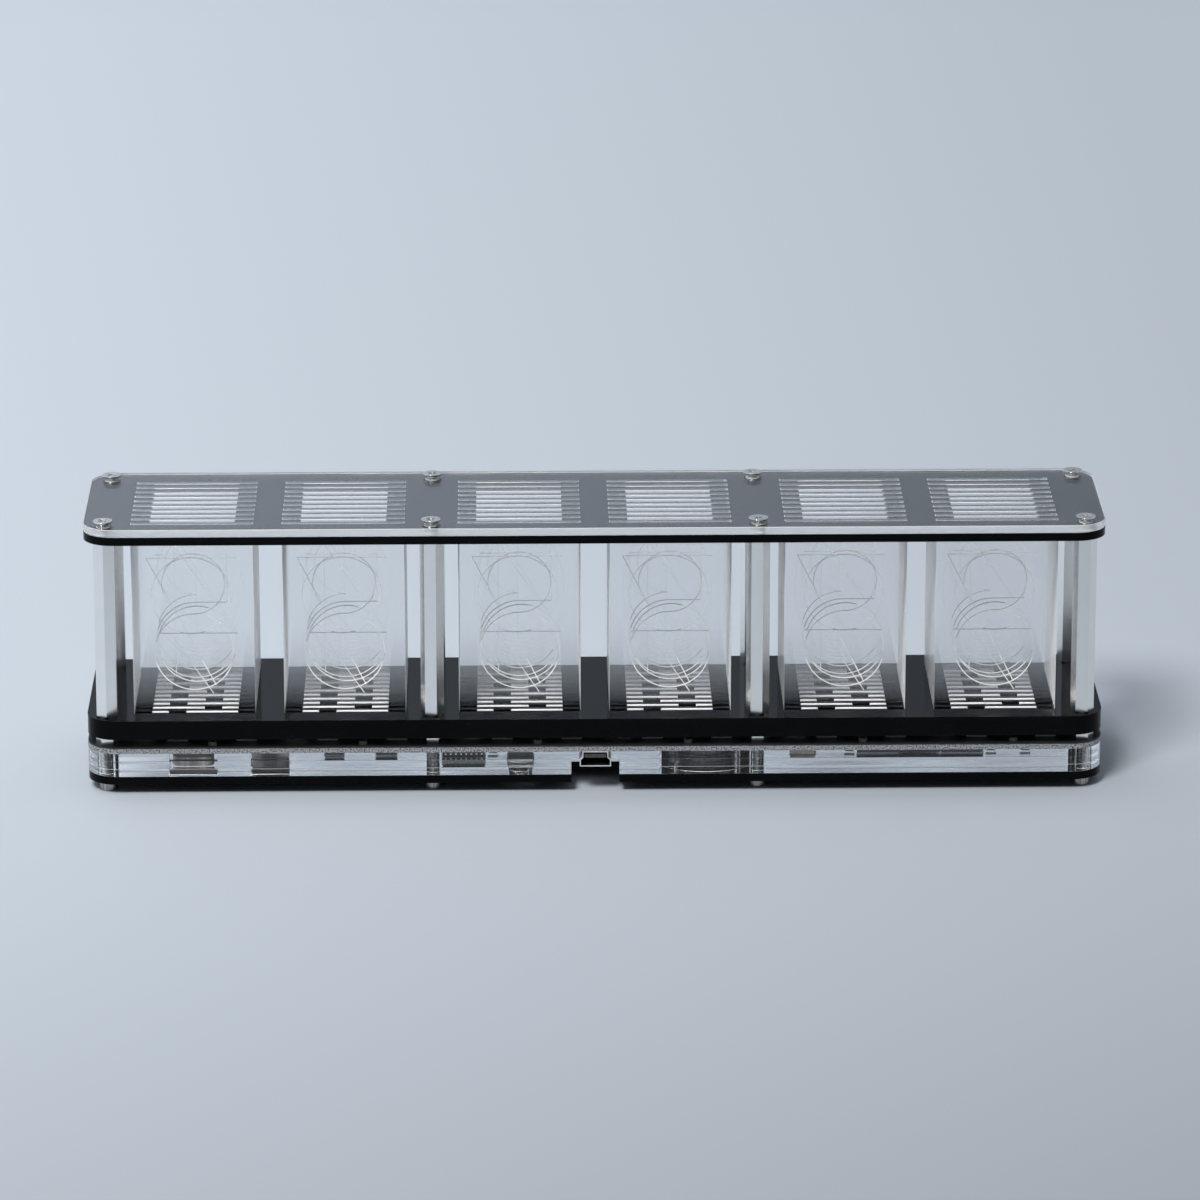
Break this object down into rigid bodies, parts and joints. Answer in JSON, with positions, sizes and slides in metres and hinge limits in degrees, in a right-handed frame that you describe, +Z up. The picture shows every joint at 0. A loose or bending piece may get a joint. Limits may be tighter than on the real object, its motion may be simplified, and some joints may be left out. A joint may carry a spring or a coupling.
{
  "type": "digital clock",
  "caption": "Edge-lit desk clock: stacks of clear engraved numeral plates stand on metal posts between a black slotted base and a windowed top, with a power socket at the rear.",
  "frame": {"origin": "middle of the footprint, on the surface that the feet stand on", "axes": "+Z up; +Y towards the reading side, so the power socket is at -Y; +X to the right when the socket side is looked at"},
  "size_m": [0.25, 0.05, 0.0689],
  "materials": {
    "clear_acrylic": "clear cast sheet with cut edges",
    "black_acrylic": "polished black sheet",
    "board": "black solder mask, pale cut edge",
    "nickel": "bright nickel plate, slightly worn",
    "lamp": "white package with a clear yellow-tinted well",
    "ceramic": "fired ceramic with tinned ends",
    "socket_shell": "tinned sheet",
    "socket_insulator": "moulded",
    "contacts": "tinned",
    "key_moulding": "moulded",
    "key_metal": "bright sheet",
    "key_plunger": "moulded",
    "holder": "moulded",
    "cell": "satin",
    "chip": "moulded epoxy",
    "can": "drawn can",
    "buzzer": "moulded",
    "tantalum": "moulded, tinned ends"
  },
  "bodies": {
    "clock": {"base_layer_lower": "clear_acrylic", "base_layer_middle": "clear_acrylic", "base_layer_upper": "clear_acrylic", "cover_plate": "clear_acrylic", "hours_tens_plates": "clear_acrylic", "hours_units_plates": "clear_acrylic", "minutes_tens_plates": "clear_acrylic", "minutes_units_plates": "clear_acrylic", "seconds_tens_plates": "clear_acrylic", "seconds_units_plates": "clear_acrylic", "bottom_plate": "black_acrylic", "lower_slot_plate": "black_acrylic", "upper_slot_plate": "black_acrylic", "comb_plate": "black_acrylic", "circuit_board": "board", "base_nuts": "nickel", "standoffs": "nickel", "cover_screws": "nickel", "base_screws": "nickel", "hours_tens_leds": "lamp", "hours_units_leds": "lamp", "minutes_tens_leds": "lamp", "minutes_units_leds": "lamp", "seconds_tens_leds": "lamp", "seconds_units_leds": "lamp", "led_capacitors": "ceramic", "underside_capacitors": "ceramic", "usb_shell": "socket_shell", "usb_insulator": "socket_insulator", "usb_contacts": "contacts", "cell_contact": "contacts", "chip_leads": "contacts", "key_leads": "contacts", "key_base": "key_moulding", "key_cover": "key_metal", "key_dome": "key_metal", "cell_holder": "holder", "coin_cell": "cell", "clock_chip": "chip", "driver_chips": "chip", "memory_chip": "chip", "controller_chip": "chip", "regulator": "chip", "quartz_crystal": "can", "buzzer": "buzzer", "tantalum_capacitor": "tantalum"},
    "key": {"key_plunger": "key_plunger"}
  },
  "joints": [
    {"name": "key_press", "type": "slide", "parent": "clock", "child": "key", "axis": [0, 0, 1], "range_m": [0, 0.00025], "stiffness_N_per_m": 1500, "springref_m": -0.0003, "deforming": ["key_dome"]}
  ]
}
